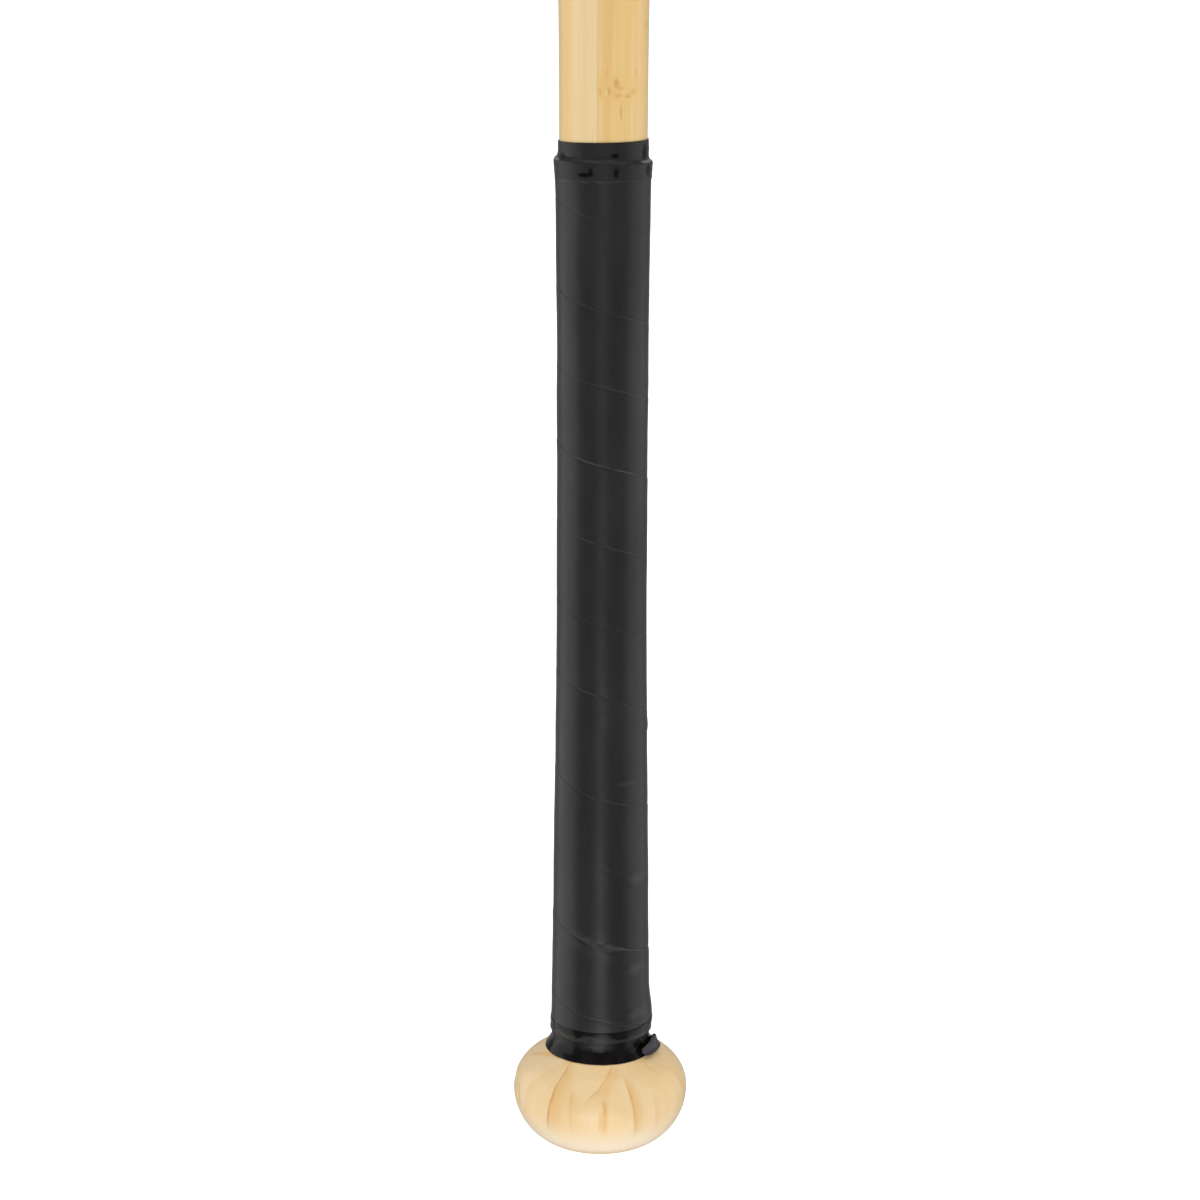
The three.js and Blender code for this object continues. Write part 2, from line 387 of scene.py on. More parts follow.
def stem_joint(shader, z, moved, wobble, shift, color):
    """The ring where the stem had a joint, at even spaces along each strip."""
    along = shader.math("ADD", shader.math("MULTIPLY_ADD", wobble, 2.5 * MM, z), shift)
    from_joint = shader.math("PINGPONG", along, STEM_JOINT_SPACING / 2)
    line = shader.ramp(from_joint, 0.3 * MM, 1.3 * MM, 0.45, 0.0)
    zone = shader.ramp(from_joint, 1.0 * MM, 7 * MM, 0.40, 0.0)
    patchy = shader.ramp(shader.noise(moved, 520, 3, 0.6), 0.40, 0.68)
    color = shader.mix(zone, color, REDDISH)
    return shader.mix(shader.math("MULTIPLY", line, patchy), color, NODE_BROWN)


def node_marks(shader, place, color):
    """The halo, flecks and glints of the bamboo node in the handle's front right strip."""
    x, y, z = shader.split(place)
    front_face = shader.ramp(y, -9 * MM, -7 * MM, 1.0, 0.0)
    wobble = shader.centred(shader.noise(place, 900, 2, 0.6), 1.1)
    marks = [(NODE_HALO, REDDISH)]
    marks += [(spot, NODE_BROWN) for spot in NODE_FLECKS]
    marks += [(spot, NODE_PALE) for spot in NODE_GLINTS]
    for spot, mark_color in marks:
        mask = shader.math("MULTIPLY", ellipse_mask(shader, x, z, wobble, spot), front_face)
        color = shader.mix(mask, color, mark_color)
    return color


def glue_lines(shader, sides, z, color):
    """A faint line where a strip ends. sides holds how far away each of its four sides is."""
    nearest_pairs = [shader.math("MINIMUM", *sides[:2]), shader.math("MINIMUM", *sides[2:])]
    nearest = shader.math("MINIMUM", *nearest_pairs)
    glue = shader.ramp(nearest, 0.02 * MM, 0.12 * MM, 0.12, 0.0)
    glue = shader.math("MULTIPLY", glue, shader.ramp(z, 26 * MM, 40 * MM, 0.15, 1.0))
    return shader.mix(glue, color, GLUE)


def bamboo_material():
    """Pale bamboo under satin lacquer. It reads each strip's sides, tone and pattern shift from
    the mesh: strip_low holds (left, near, tone) and strip_high holds (right, far, shift)."""
    s = Shader("bamboo")
    place = s.place()
    billet = s.node("Mapping", {"Vector": place, "Rotation": (0, 0, -BILLET_TURN)}).outputs[0]
    x, y, z = s.split(place)
    across, deep, _ = s.split(billet)
    left, near, tone = s.split(s.attribute("strip_low"))
    right, far, shift = s.split(s.attribute("strip_high"))

    # fibres run along the bat, shifted from strip to strip
    moved = s.vector("ADD", billet, s.join(shift, s.math("MULTIPLY", shift, 2.3), shift))
    fine = s.noise(s.vector("MULTIPLY", moved, (1, 1, 0.010)), 1500, 3, 0.65)
    bands = s.noise(s.vector("MULTIPLY", moved, (1, 1, 0.012)), 330, 2, 0.5)
    broad = s.noise(s.vector("MULTIPLY", moved, (1, 1, 0.08)), 90, 2, 0.5)
    dashes = s.noise(s.vector("MULTIPLY", moved, (1, 1, 0.045)), 2100, 1, 0.4)
    wobble = s.noise(s.vector("MULTIPLY", moved, (1, 1, 0.5)), 420, 2, 0.5)
    signed_wobble = s.math("SUBTRACT", wobble, 0.5)

    # each strip has its own tone, and is denser and darker towards one face
    depth = s.math("DIVIDE", s.math("SUBTRACT", deep, near), s.math("SUBTRACT", far, near))
    color = s.mix(s.ramp(tone, 0.0, 0.5), PALE, GOLDEN)
    color = s.mix(s.ramp(tone, 0.5, 1.0), color, REDDISH)
    color = s.mix(s.ramp(bands, 0.35, 0.68, 0.0, 0.55), color, PALE)
    color = s.mix(s.ramp(broad, 0.45, 0.75, 0.0, 0.35), color, REDDISH)
    color = s.mix(s.ramp(fine, 0.52, 0.80, 0.0, 0.30), color, STREAK)
    color = s.mix(s.ramp(dashes, 0.66, 0.78, 0.0, 0.30), color, STREAK)
    color = s.mix(s.ramp(depth, 0.6, 1.0, 0.0, 0.07), color, STREAK)

    for centre, half_width, strength in FRONT_BANDS:
        off_centre = s.math("ABSOLUTE", s.math("SUBTRACT", across, centre * MM))
        color = s.mix(s.ramp(off_centre, 0, half_width * MM, strength, 0.0), color, REDDISH)

    color = stem_joint(s, z, moved, signed_wobble, shift, color)
    color = node_marks(s, place, color)

    # the knob is paler below its shoulder, and shows grain lines that the turning bares
    azimuth = s.math("ARCTAN2", x, s.math("MULTIPLY", y, -1.0))
    color = s.mix(s.ramp(z, 26 * MM, 36 * MM, 0.5, 0.0), color, KNOB_CREAM)
    color = knob_streaks(s, azimuth, z, s.math("MULTIPLY", signed_wobble, 1.3 * MM), color)
    color = shoulder_line(s, azimuth, z, s.math("MULTIPLY", signed_wobble, 0.8 * MM), color)
    # painted glow on the knob's lower end, standing in for light bounced up from the floor
    color = s.mix(s.band(z, (1, 5), (4, 16), 0.85), color, FLOOR_BOUNCE_CREAM)

    sides = [
        s.math("SUBTRACT", across, left), s.math("SUBTRACT", right, across),
        s.math("SUBTRACT", deep, near), s.math("SUBTRACT", far, deep),
    ]
    color = glue_lines(s, sides, z, color)

    s.set(Base_Color=color, Roughness=s.ramp(fine, 0.3, 0.8, 0.36, 0.50))
    s.set(Coat_Weight=0.55, Coat_Roughness=0.22, Coat_IOR=1.45, Specular_IOR_Level=0.4)
    s.relief(s.math("ADD", fine, s.math("MULTIPLY", dashes, 0.6)), 0.02 * MM, 0.6)
    return s.material


# --- the turned strips --------------------------------------------------------------------------

SEGMENTS = 128
WAIST = 215 * MM
VISUAL_GAP = 0.01 * MM
CAD_GAP = 0.2 * MM
SQUARE_ON = 0.99999
SMALLEST_FACE = 1e-8
TONES = {"core_strip_4a": 0.0, "core_strip_4b": 0.80, "core_strip_5a": 0.35, "core_strip_5b": 0.55}
JOINT_AT_HANDLE_FRONT = 313 * MM


def billet_axis(axis):
    """The billet's own sideways (0) or front-to-back (1) direction."""
    return Matrix.Rotation(BILLET_TURN, 3, "Z").col[axis]


def strip_sides(node, below_waist):
    """Where a packed strip's flat sides are, as {(axis, side): offset} along the billet's axes."""
    found = {}
    for face in node.data.polygons:
        if (face.center.z < WAIST) != below_waist or face.area < SMALLEST_FACE:
            continue
        for axis in (0, 1):
            facing = face.normal.dot(billet_axis(axis))
            if abs(facing) > SQUARE_ON:
                found[axis, round(facing)] = face.center.dot(billet_axis(axis))
    return found


def turned_solid(outline):
    """A closed solid of revolution from an outline that starts and ends near the axis."""
    bm = bmesh.new()
    rings = [[bm.verts.new((0, 0, outline[0].y))]]
    for point in outline:
        angles = [FULL_TURN * (i + 0.5) / SEGMENTS for i in range(SEGMENTS)]
        rings.append([bm.verts.new(on_circle(angle, point.x, point.y)) for angle in angles])
    rings.append([bm.verts.new((0, 0, outline[-1].y))])
    for low, high in zip(rings, rings[1:]):
        for i in range(SEGMENTS):
            j = (i + 1) % SEGMENTS
            corners = [low[i % len(low)], low[j % len(low)], high[j % len(high)], high[i % len(high)]]
            face = bm.faces.new(list(dict.fromkeys(corners)))
            face.smooth = len(low) == len(high)
    return bm


def cut(bm, axis, side, offset):
    """Cuts a solid square to one of the billet's axes, keeps its inner part and closes it."""
    gap = (CAD_GAP - VISUAL_GAP) / 2
    normal = billet_axis(axis) * side
    point = billet_axis(axis) * (offset + side * gap)
    open_edges = [edge for edge in split_by_plane(bm, point, normal) if len(edge.link_faces) == 1]
    filled = bmesh.ops.holes_fill(bm, edges=open_edges, sides=0)["faces"]
    for face in filled:
        face.smooth = False
    bmesh.ops.triangulate(bm, faces=filled, ngon_method="EAR_CLIP")


def strip_from(solid, sides):
    """A copy of a turned solid, cut down to one strip."""
    bm = solid.copy()
    for (axis, side), offset in sides.items():
        cut(bm, axis, side, offset)
    return bm


def turned_normal(point):
    slope = wood_at(point.z)[1]
    return Vector((point.x, point.y, -slope * point.xy.length)).normalized()


def set_normals(mesh):
    """The turned skin gets the exact normals of the smooth outline, so that no strip's edge shows."""
    known = {}
    normals = []
    for face in mesh.polygons:
        for index in face.vertices:
            if face.use_smooth and index not in known:
                known[index] = turned_normal(mesh.vertices[index].co)
            normals.append(known[index] if face.use_smooth else face.normal)
    mesh.normals_split_custom_set(normals)


def write_sides(mesh, low_sides, high_sides, tone, shift):
    """Stores each face's strip sides for the material. A side that was never cut is put far away."""
    far_away = 1.0
    low = mesh.attributes.new("strip_low", "FLOAT_VECTOR", "FACE")
    high = mesh.attributes.new("strip_high", "FLOAT_VECTOR", "FACE")
    for face in mesh.polygons:
        sides = low_sides if face.center.z < WAIST else high_sides
        left, near = sides.get((0, -1), -far_away), sides.get((1, -1), -far_away)
        right, far = sides.get((0, 1), far_away), sides.get((1, 1), far_away)
        low.data[face.index].vector = (left, near, tone)
        high.data[face.index].vector = (right, far, shift)


def build_strips(material):
    at_waist = min(range(len(OUTLINE)), key=lambda i: abs(OUTLINE[i].y - WAIST))
    whole = turned_solid(OUTLINE)
    knob_half = turned_solid(OUTLINE[:at_waist + 1])
    barrel_half = turned_solid(OUTLINE[at_waist:])
    chance = random.Random(4)
    for name in STRIPS:
        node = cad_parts[name]
        tone = TONES.get(name, chance.uniform(0.0, 0.9))
        shift = -JOINT_AT_HANDLE_FRONT if name == "core_strip_4b" else chance.uniform(0.05, 0.21)
        sides = {below: strip_sides(node, below) for below in (True, False)}
        if name.startswith("core"):
            bm = strip_from(whole, {**sides[True], **sides[False]})
        elif name.startswith("knob"):
            bm = strip_from(knob_half, sides[True])
        else:
            bm = strip_from(barrel_half, sides[False])
        bmesh.ops.recalc_face_normals(bm, faces=bm.faces)
        mesh = mesh_from(bm, "turned_" + name)
        write_sides(mesh, sides[True], sides[False], tone, shift)
        set_normals(mesh)
        add_piece("turned_" + name, mesh, material, name)


# --- the wrap -----------------------------------------------------------------------------------

# Where the wrap's upper edge crosses the front, turn by turn from the bottom, as (height in
# millimetres, how much the edge shows).
SEAMS = [
    (-3.5, 0.2), (20, 0.2), (43.2, 0.2), (66.5, 1.1), (89.6, 0.08), (111.1, 0.60), (141.7, 0.65),
    (162.3, 0.35), (186.0, 0.4), (209.1, 0.7), (232.1, 0.6), (252.9, 0.5), (277.5, 0.25), (301, 0.2),
    (324, 0.2),
]
WRAP_STEPS_PER_TURN = 112
WRAP_THICKNESS = 1.07 * MM
LAP = 3.2 * MM
HANDLE_RADIUS = 14 * MM
BEAD_HIGHLIGHT_FACES = 2

# Ridges in the wrap, as (height at the front, fall over a radian to the right, half width, height
# of the ridge, where it starts and ends in radians from the front).
WRINKLES = [
    (136.4, 4.2, 2.4, 0.24, -0.35, 2.0),
    (64.6, 5.0, 2.6, 0.30, -0.8, 0.65),
    (86.5, 3.0, 2.2, 0.16, 0.4, 1.6),
]

# Painted highlights on the wrap's front, as (x, height, half width, half height, strength).
GRIP_HIGHLIGHT_SPOTS = [
    (-6.4, 69.2, 2.2, 0.9, 0.25),
    (-3.9, 67.9, 2.4, 1.0, 0.40),
    (-1.2, 66.6, 2.4, 1.0, 0.45),
    (1.5, 65.6, 2.6, 1.0, 0.50),
    (4.2, 64.8, 2.6, 0.9, 0.40),
    (10.6, 85.2, 2.4, 1.8, 0.45),
    (10.5, 57.5, 2.2, 1.8, 0.40),
    (11.0, 43.5, 2.4, 1.6, 0.40),
    (8.0, 115.0, 3.5, 0.6, 0.30),
    (-9.0, 205.0, 1.0, 1.5, 0.25),
]

GRIP_DARK = (0.0160, 0.0140, 0.0145, 1)
GRIP_LIGHT = (0.0225, 0.0202, 0.0208, 1)
DUST = (0.07, 0.065, 0.063, 1)
HIGHLIGHT_SPOT_GREY = (0.056, 0.053, 0.053, 1)
BEAD_HIGHLIGHT_GREY = (0.062, 0.060, 0.060, 1)


def along_seams(turn, item):
    """A height or strength from SEAMS part of the way round a turn. Whole turns are at the front."""
    below = min(len(SEAMS) - 2, max(0, math.floor(turn)))
    return SEAMS[below][item] + (SEAMS[below + 1][item] - SEAMS[below][item]) * (turn - below)


def seam_height(turn):
    """The height of the wrap's upper edge."""
    return (along_seams(turn, 0) + 0.9 * noise.noise(Vector((turn * 2.1, 3.7, 0.5)))) * MM


def seam_strength(turn):
    """How much the edge shows here: about the listed strength at the front, and uneven elsewhere."""
    nearest = SEAMS[min(len(SEAMS) - 1, max(0, round(turn)))][1]
    fading = 1 - 0.6 * smoothstep(0.08, 0.17, abs(turn - round(turn)))
    return max(0.05, nearest * fading * (1 + 0.9 * noise.noise(Vector((turn * 3.3, 1.3, 7.9)))))


def in_front(azimuth):
    """1 over the front of the bat, falling smoothly to 0 at its sides."""
    return smoothstep(-0.1, 0.5, math.cos(azimuth))


def lopsided(azimuth, z):
    """The wrap's lower end is thicker on its right, in millimetres."""
    return 0.42 * math.sin(azimuth) * bump(41, 9, z / MM)


def wrap_swell(azimuth, z):
    """How far the wrap stands proud of an even thickness: at its ends, and where a wrinkle lies.
    Its lower end is flatter at the front."""
    swell = 0.36 * bump(40.5, 9.5, z / MM) + 0.16 * bump(293, 12, z / MM)
    wrinkle = 0
    for front_height, fall, half_width, height, start, end in WRINKLES:
        ridge = bump(front_height - fall * azimuth, half_width, z / MM)
        wrinkle += height * ridge * between(start, end, 0.5, azimuth)
    around = on_circle(azimuth, HANDLE_RADIUS, z)
    uneven = 0.10 * noise.noise(around * 55) + 0.045 * noise.noise(around * 190 + Vector((5, 1, 2)))
    flatter = -0.13 * in_front(azimuth) * (1 - smoothstep(37.5, 43, z / MM))
    return (swell + wrinkle + uneven + flatter + lopsided(azimuth, z)) * MM


def wrap_section(turn):
    """The wrap's closed section at one place along it: down its outside and back up its inside.
    Its upper edge is a bead that lies over the lower edge of the turn above. Heights off the wood
    are in wrap thicknesses."""
    top = seam_height(turn)
    tuck = seam_height(turn - 1)
    azimuth = -FULL_TURN * turn
    wrapped = math.remainder(azimuth, FULL_TURN)
    bottom = tuck - LAP
    bead = seam_strength(turn)
    dip = seam_strength(turn - 1)
    outside = [
        (top - 0.02 * MM, 1.04 - 0.10 * bead), (top - 0.16 * MM, 1.04 - 0.02 * bead),
        (top - 0.5 * MM, 1.04 + 0.09 * bead), (top - 1.1 * MM, 1.04 + 0.15 * bead),
        (top - 2.0 * MM, 1.04 + 0.14 * bead), (top - 3.2 * MM, 1.04 + 0.08 * bead),
        (top - 4.8 * MM, 1.04 + 0.03 * bead), (top - 6.8 * MM, 1.04),
    ]
    outside += [(top + (tuck - top) * share, 1.04) for share in (0.38, 0.48, 0.58, 0.68, 0.77)]
    outside += [
        (tuck + 3.6 * MM, 1.04), (tuck + 2.4 * MM, 1.04 - 0.02 * dip),
        (tuck + 1.3 * MM, 1.04 - 0.06 * dip), (tuck + 0.5 * MM, 1.04 - 0.10 * dip),
        (tuck - 0.1 * MM, 1.03 - 0.13 * dip), (tuck - 0.9 * MM, 0.60), (bottom, 0.50),
    ]
    inside = [
        (bottom, 0.14), (tuck, 0.12), (tuck + 6 * MM, 0.12), ((top + tuck) / 2, 0.12),
        (top - 6.5 * MM, 0.12), (top - LAP - 1.2 * MM, 0.16), (top - LAP + 0.6 * MM, 0.60),
        (top - 0.9 * MM, 0.68), (top - 0.15 * MM, 0.72),
    ]
    section = []
    for z, height in outside:
        height_here = height * WRAP_THICKNESS
        section.append((z, height_here + wrap_swell(wrapped, z) * smoothstep(0.45, 0.8, height)))
    for z, height in inside:
        section.append((z, height * WRAP_THICKNESS))
    return azimuth, section, bead


def trim(bm, z, upward):
    """Cuts a solid off level at a height and closes it."""
    normal = Vector((0, 0, 1 if upward else -1))
    edges = split_by_plane(bm, (0, 0, z), normal)
    filled = bmesh.ops.triangle_fill(bm, edges=edges, normal=normal)
    for face in filled["geom"]:
        if isinstance(face, bmesh.types.BMFace):
            face.smooth = False


def build_wrap(material):
    bm = bmesh.new()
    bead_highlight = bm.faces.layers.float.new("bead_highlight")
    steps = (len(SEAMS) - 2) * WRAP_STEPS_PER_TURN
    rows = []
    beads = []
    for step in range(steps + 1):
        azimuth, section, bead = wrap_section(1 + step / WRAP_STEPS_PER_TURN)
        row = []
        for z, height in section:
            radius = wood_at(max(z, GRIP_LOW - 3 * MM))[0] + height
            row.append(bm.verts.new(on_circle(azimuth, radius, z)))
        rows.append(row)
        beads.append(bead)
    # faces along each turn's upper edge carry a painted highlight, as strong as the bead
    for band, bead in zip(join_rows(bm, rows), beads):
        for face in band[:BEAD_HIGHLIGHT_FACES]:
            face[bead_highlight] = bead
    bm.faces.new(rows[0])
    bm.faces.new(rows[-1])
    bmesh.ops.recalc_face_normals(bm, faces=bm.faces)
    trim(bm, GRIP_LOW, False)
    trim(bm, GRIP_HIGH, True)
    add_piece("wound_grip", mesh_from(bm, "wound_grip"), material, "grip_wrap")


def grip_material():
    """Matte black cushioned wrap with a fine skin, a little dusty, with painted highlights."""
    s = Shader("grip_tape")
    place = s.place()
    cells = s.node("TexVoronoi", {"Vector": place, "Scale": 2600.0}, feature="SMOOTH_F1")
    pores = s.noise(place, 5200, 2, 0.5)
    smudge = s.noise(s.vector("MULTIPLY", place, (1, 1, 0.35)), 70, 3, 0.6)
    dust = s.ramp(s.noise(place, 2400, 1, 0.5), 0.70, 0.80, 0.0, 0.5)
    color = s.mix(s.ramp(smudge, 0.35, 0.75), GRIP_DARK, GRIP_LIGHT)
    color = s.mix(s.math("MULTIPLY", dust, 0.25), color, DUST)
    x, y, z = s.split(place)
    front_half = s.ramp(y, -2 * MM, 0, 1.0, 0.0)
    wobble = s.centred(s.noise(place, 420, 3, 0.6), 1.6)
    # painted highlights on the front, where the seams' beads catch the light
    for spot in GRIP_HIGHLIGHT_SPOTS:
        mask = s.math("MULTIPLY", ellipse_mask(s, x, z, wobble, spot), front_half)
        color = s.mix(mask, color, HIGHLIGHT_SPOT_GREY)
    # painted highlight along each turn's upper edge, where its bead catches the light
    bead_highlight = s.node("Attribute", attribute_name="bead_highlight").outputs["Fac"]
    uneven = s.ramp(s.noise(place, 130, 2, 0.5), 0.35, 0.65, 0.1, 0.8)
    color = s.mix(s.math("MULTIPLY", bead_highlight, uneven), color, BEAD_HIGHLIGHT_GREY)
    s.set(Base_Color=color, Roughness=s.ramp(smudge, 0.3, 0.75, 0.38, 0.31), Specular_IOR_Level=0.5)
    s.relief(s.math("ADD", cells.outputs["Distance"], s.math("MULTIPLY", pores, 0.5)), 0.035 * MM, 0.5)
    return s.material


# --- the finishing tapes ------------------------------------------------------------------------

TAPE_THICKNESS = 0.16 * MM
TAPE_OFF_WOOD = 0.02 * MM
TAPE_SEGMENTS = 288
TAPE_STEP = 0.28 * MM

# Each tape's outside from its top down, as (radius, height).
TOP_TAPE_OUTLINE = [
    (12.62, 299.0), (12.66, 296.8), (12.72, 294.9), (13.00, 294.1), (13.55, 293.75), (13.80, 293.1),
    (13.74, 291.4), (13.62, 289.6), (13.56, 288.1),
]
BOTTOM_TAPE_OUTLINE = [
    (15.16, 39.2), (15.27, 38.95), (15.27, 38.1), (15.14, 37.1), (14.82, 35.8), (14.62, 34.8),
    (14.48, 34.0), (14.46, 33.3), (14.62, 32.6), (15.06, 31.8), (15.74, 30.8), (16.42, 29.75),
]

# Dents in the upper tape's front, as (x, height, half width, depth).
TOP_DENTS = [(2.5, 295.3, 1.3, 0.12), (-11.3, 295.0, 1.4, 0.12)]
TOP_TAPE_RADIUS = 13.4

# The lower tape's loose end: azimuth in degrees, radius and height of its lower edge, then of its
# upper edge, from where it leaves the band to its free corner.
TAIL_SECTIONS = [
    (103, (15.6, 30.9), (15.3, 31.2)),
    (97, (16.6, 30.7), (15.9, 31.6)),
    (91, (17.5, 30.6), (16.5, 32.4)),
    (85, (18.1, 30.5), (16.8, 33.4)),
    (80, (18.3, 30.5), (16.7, 34.1)),
    (74, (18.3, 30.3), (16.4, 34.7)),
    (67, (18.1, 30.2), (16.5, 34.2)),
    (58, (18.0, 30.2), (16.8, 33.4)),
    (48, (17.1, 31.3), (16.8, 32.6)),
]
TAIL_OFF_WOOD = 0.4
TAIL_STEP = 0.35
TAIL_ROWS_ACROSS = 8


def creases(azimuth, z, seed, size):
    """Small random folds, in metres, that repeat nowhere round the band."""
    around = on_circle(azimuth, HANDLE_RADIUS, z)
    shifted = around + Vector((seed, 0, 0))
    sharp = 1 - abs(noise.noise(Vector((shifted.x * 160, shifted.y * 160, z * 420 + seed)))) * 2
    soft = noise.noise(Vector((shifted.x * 330, shifted.y * 330, z * 260 - seed)))
    return size * (0.6 * max(0, sharp) ** 3 + 0.4 * soft)


def top_wander(azimuth, z):
    """How far the upper tape strays out and up. It is stretched over the step at the wrap's end."""
    at_step = bump(294.0, 3.2, z / MM)
    tilt = MM * (0.28 * math.sin(azimuth + 0.2) * (1 - at_step) - 0.45 * math.sin(azimuth) * at_step)
    edge_wave = 0.10 * MM * noise.noise(on_circle(azimuth, 0.9, 4))
    middle = bump(294.2, 5.0, z / MM)
    overlap_end = 0.12 * MM * smoothstep(2.55, 2.60, azimuth)
    out = creases(azimuth, z, 3.1, 0.20 * MM) * (0.35 + 0.65 * middle) + overlap_end
    if abs(azimuth) < 1.5:
        for dent_x, dent_z, half_width, depth in TOP_DENTS:
            distance = math.hypot(dent_x - TOP_TAPE_RADIUS * math.sin(azimuth), dent_z - z / MM)
            out -= depth * MM * bump(0, half_width, distance)
    return out, tilt + edge_wave


def bottom_wander(azimuth, z):
    """How far the lower tape strays out and up. It is pleated where the wood flares, creased at the
    left, and hugs the wrap's lopsided end."""
    edge_wave = 0.16 * MM * noise.noise(on_circle(azimuth, 1.6, 9))
    pleats = 0.05 * MM * math.sin(azimuth * 17 + 2 * math.sin(azimuth * 3)) * bump(31.5, 3.5, z / MM)
    leaning = azimuth + 0.06 * (z / MM - 34)
    crease = -0.35 * MM * bump(-1.15, 0.16, leaning) * bump(36, 3.2, z / MM)
    away_from_waist = 0.1 + 0.9 * smoothstep(0.6, 2.4, abs(z / MM - 33.4))
    hug = lopsided(azimuth, z) * MM * smoothstep(33.0, 37.5, z / MM)
    fuller_waist = 0.18 * bump(33.6, 3.0, z / MM) - 0.12 * smoothstep(35.0, 37.6, z / MM)
    straighter = in_front(azimuth) * fuller_waist * MM
    out = creases(azimuth, z, 8.4, 0.06 * MM) * away_from_waist + pleats + crease + hug + straighter
    return out, edge_wave


def tape_ring(outline, wander):
    """A closed band of thin tape that never sinks into the wood. wander(azimuth, z) gives how far a
    point moves out and up."""
    bm = bmesh.new()
    line = smooth_line([(radius * MM, z * MM) for radius, z in outline], lambda point: TAPE_STEP)
    rows = []
    for layer_in, points in ((0.0, line), (TAPE_THICKNESS, line[::-1])):
        for point in points:
            least = wood_at(point.y)[0] + TAPE_OFF_WOOD + TAPE_THICKNESS - layer_in
            row = []
            for i in range(TAPE_SEGMENTS):
                azimuth = FULL_TURN * i / TAPE_SEGMENTS
                out, up = wander(math.remainder(azimuth, FULL_TURN), point.y)
                radius = max(least, point.x - layer_in + out)
                row.append(bm.verts.new(on_circle(azimuth, radius, point.y + up)))
            rows.append(row)
    join_rows(bm, rows + [rows[0]])
    return bm


def finish_tape(name, bm, material, replaced):
    bmesh.ops.recalc_face_normals(bm, faces=bm.faces)
    piece = add_piece(name, mesh_from(bm, name), material, replaced)
    edges = piece.modifiers.new("crisp_edges", "EDGE_SPLIT")
    edges.split_angle = math.radians(50)


def tail_edge(which):
    """A smooth line along the tail's lower (0) or upper (1) edge, as (azimuth, radius, height)."""
    points = [(math.radians(degrees), *edges[which]) for degrees, *edges in TAIL_SECTIONS]
    return smooth_line(points, lambda point: TAIL_STEP)


def add_tail(bm):
    """The tape's loose end stands off the band and curls out at its lower edge."""
    low_line, high_line = tail_edge(0), tail_edge(1)
    count = min(len(low_line), len(high_line))
    rows = []
    for i in range(count):
        low = low_line[round(i * (len(low_line) - 1) / (count - 1))]
        high = high_line[round(i * (len(high_line) - 1) / (count - 1))]
        front, back = [], []
        for k in range(TAIL_ROWS_ACROSS + 1):
            share = k / TAIL_ROWS_ACROSS
            azimuth, radius, z = low.lerp(high, share)
            radius += math.sin(share * math.pi) * (0.125 * math.sin(i * 0.9) - 0.35)
            radius = max(radius, wood_at(z * MM)[0] / MM + TAIL_OFF_WOOD)
            front.append(bm.verts.new(on_circle(azimuth, radius * MM, z * MM)))
            back.append(bm.verts.new(on_circle(azimuth, radius * MM - TAPE_THICKNESS, z * MM)))
        rows.append(front + back[::-1])
    join_rows(bm, rows)
    bm.faces.new(rows[0])
    bm.faces.new(rows[-1])


def build_tapes(upper_material, lower_material):
    top = tape_ring(TOP_TAPE_OUTLINE, top_wander)
    finish_tape("upper_tape", top, upper_material, "top_finish_tape")
    bottom = tape_ring(BOTTOM_TAPE_OUTLINE, bottom_wander)
    add_tail(bottom)
    finish_tape("lower_tape", bottom, lower_material, "bottom_finish_tape")


# Painted shade of folds in the upper tape's front, as (x, height, half width, half height, strength).
TAPE_FOLD_SHADES = [
    (3.3, 295.5, 1.2, 0.9, 0.95),
    (-5.1, 290.3, 2.3, 0.9, 1.0),
    (-3.5, 291.3, 0.9, 1.2, 0.9),
    (3.6, 291.0, 1.0, 1.6, 0.9),
    (-11.3, 295.0, 0.9, 0.9, 0.5),
    (11.4, 296.0, 0.9, 2.6, 0.6),
    (12.4, 291.0, 0.7, 2.0, 0.5),
]

# Painted glints on its stretched shoulders at the far left and right.
TAPE_SHOULDER_GLINTS = [(-13.1, 294.0, 1.0, 0.5, 0.6), (12.3, 293.5, 2.0, 0.4, 0.55)]

VINYL_DARK = (0.0040, 0.0032, 0.0034, 1)
VINYL_LIGHT = (0.0080, 0.0066, 0.0072, 1)
VINYL_WORN = (0.026, 0.025, 0.025, 1)
FOLD_SHADE_BLACK = (0.001, 0.001, 0.001, 1)
GLINT_GREY = (0.26, 0.25, 0.25, 1)
RIM_HIGHLIGHT_GREY = (0.048, 0.046, 0.046, 1)
TAIL_LIT_GREY = (0.048, 0.042, 0.057, 1)


def vinyl_relief(shader, place, marks):
    """Faint stretch lines round a tape, and its finger marks."""
    stretch = shader.noise(shader.vector("MULTIPLY", place, (1, 1, 4)), 190, 2, 0.45)
    shader.relief(shader.math("ADD", stretch, shader.math("MULTIPLY", marks, 0.35)), 0.06 * MM, 0.35)


